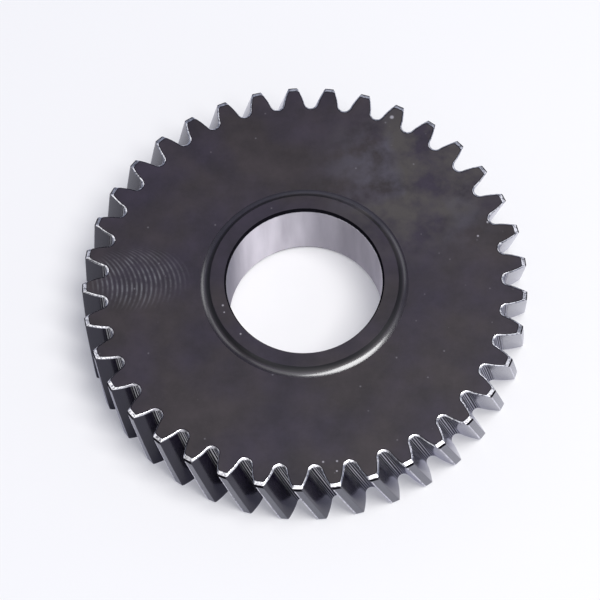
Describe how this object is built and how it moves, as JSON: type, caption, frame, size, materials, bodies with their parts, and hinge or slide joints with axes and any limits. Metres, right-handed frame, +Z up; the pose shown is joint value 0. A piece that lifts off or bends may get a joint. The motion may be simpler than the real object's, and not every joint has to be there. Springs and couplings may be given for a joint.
{
  "type": "compressor gear",
  "caption": "Helical steel drive gear for an air compressor, with a plain ground bore and a low hub boss on one side.",
  "frame": {"origin": "middle of the plain side, on the bore axis", "axes": "+Z up the bore towards the hub boss, one tooth of the boss side on +Y"},
  "size_m": [0.1282, 0.1282, 0.0253],
  "materials": {
    "gear_steel": "heat-treated steel with a dark oxide skin on its sides and hobbed teeth, bright where it was ground or chamfered"
  },
  "bodies": {
    "root": {"compressor_gear": "gear_steel"}
  },
  "joints": []
}
